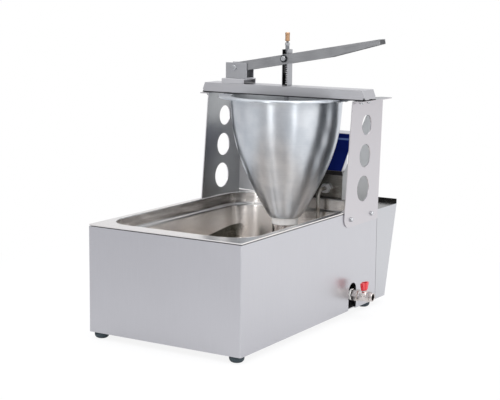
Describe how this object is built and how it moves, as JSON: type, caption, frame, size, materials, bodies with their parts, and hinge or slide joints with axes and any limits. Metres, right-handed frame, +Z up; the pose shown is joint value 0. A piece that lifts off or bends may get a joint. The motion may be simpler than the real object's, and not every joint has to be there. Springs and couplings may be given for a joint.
{
  "type": "donut maker",
  "caption": "Countertop donut maker with an oil tank, a bridge-mounted conical hopper, a lever-driven plunger, an electric heating head and a drain valve.",
  "frame": {"origin": "centre of the bounding box at the surface the feet stand on", "axes": "+Z up; the front of the tank faces -Y; the drain valve and the lever's free end point to +X"},
  "size_m": [0.4128, 0.642, 0.5732],
  "materials": {
    "sheet_steel": "satin stainless sheet with a fine vertical grain",
    "bracket_steel": "fine brushed stainless sheet",
    "polished_steel": "bright pressed stainless with soft, warm reflections",
    "spun_aluminium": "spun aluminium, bright, with faint turning rings",
    "dark_steel": "darker satin steel with drawn grain",
    "zinc_plate": "bright zinc and nickel plate",
    "brass": "plain turned brass",
    "rubber": "dark slate rubber, matt",
    "white_nylon": "white food-grade plastic",
    "black_plastic": "black moulded plastic",
    "red_plastic": "red, slightly glossy",
    "blue_panel": "deep blue, satin, with a paler stripe near the top",
    "green_lens": "green moulded lens",
    "amber_lens": "amber moulded lens"
  },
  "bodies": {
    "frame": {"body_wrap": "sheet_steel", "rear_panel": "sheet_steel", "base_plate": "sheet_steel", "rear_housing": "sheet_steel", "fry_tank": "polished_steel", "drain_pipe": "sheet_steel", "valve_body": "zinc_plate", "right_bracket": "bracket_steel", "left_bracket": "bracket_steel", "bridge_bar": "bracket_steel", "hopper": "spun_aluminium", "nozzle_collar": "white_nylon", "nozzle_cylinder": "sheet_steel", "ring_former": "sheet_steel", "guide_post": "bracket_steel", "clevis_saddle": "bracket_steel", "clevis": "bracket_steel", "pivot_bolt": "zinc_plate", "head_box": "polished_steel", "console_hood": "sheet_steel", "console_panel": "blue_panel", "switch_box": "sheet_steel", "element_gland_left": "zinc_plate", "element_gland_right": "zinc_plate", "cable_gland": "black_plastic", "power_lamp": "green_lens", "heating_lamp": "amber_lens", "switch_bezel": "black_plastic", "heating_element": "dark_steel", "foot_front_left": "rubber", "foot_front_right": "rubber", "foot_rear_left": "rubber", "foot_rear_right": "rubber", "left_bracket_bolt_1": "zinc_plate", "left_bracket_bolt_2": "zinc_plate", "left_bar_bolt_1": "zinc_plate", "left_bar_bolt_2": "zinc_plate", "left_hopper_bolt_1": "zinc_plate", "left_hopper_bolt_2": "zinc_plate", "right_bracket_bolt_1": "zinc_plate", "right_bracket_bolt_2": "zinc_plate", "right_bar_bolt_1": "zinc_plate", "right_bar_bolt_2": "zinc_plate", "right_hopper_bolt_1": "zinc_plate", "right_hopper_bolt_2": "zinc_plate"},
    "lever": {"lever": "dark_steel", "lever_end_plug": "black_plastic", "follower_bolt": "zinc_plate"},
    "plunger": {"plunger_rod": "polished_steel", "portion_piston": "white_nylon", "crosshead": "dark_steel", "jam_nut": "zinc_plate", "return_spring": "dark_steel"},
    "portion_knob": {"portion_knob": "brass"},
    "drain_valve": {"valve_ball": "polished_steel", "valve_stem": "zinc_plate", "valve_handle": "red_plastic", "handle_nut": "zinc_plate"},
    "thermostat": {"thermostat_dial": "black_plastic"},
    "rocker": {"rocker_switch": "red_plastic"}
  },
  "joints": [
    {"name": "lever_pivot", "type": "hinge", "parent": "frame", "child": "lever", "pos_m": [-0.13143, 0.127, 0.4967], "axis": [0, 1, 0], "range_deg": [0, 13.5], "stiffness_Nm_per_rad": 4, "springref_deg": -29.79},
    {"name": "plunger_slide", "type": "slide", "parent": "frame", "child": "plunger", "axis": [0, 0, -1], "range_m": [0, 0.0285], "deforming": ["return_spring"]},
    {"name": "portion_knob_turn", "type": "hinge", "parent": "plunger", "child": "portion_knob", "pos_m": [-0.01143, 0.127, 0.555], "axis": [0, 0, 1], "range_deg": [-180, 180]},
    {"name": "drain_valve_turn", "type": "hinge", "parent": "frame", "child": "drain_valve", "pos_m": [0.18557, 0.113, 0.0443], "axis": [0, 0, 1], "range_deg": [0, 90]},
    {"name": "thermostat_turn", "type": "hinge", "parent": "frame", "child": "thermostat", "pos_m": [-0.07143, 0.2345, 0.3018], "axis": [0, -0.7933, 0.6088], "range_deg": [0, 270]},
    {"name": "rocker_tilt", "type": "hinge", "parent": "frame", "child": "rocker", "pos_m": [-0.03143, 0.23101, 0.30448], "axis": [-1, 0, 0], "range_deg": [0, 8]}
  ],
  "couplings": [
    {"joint": "plunger_slide", "follows": "lever_pivot", "m_per_rad": 0.12062}
  ]
}
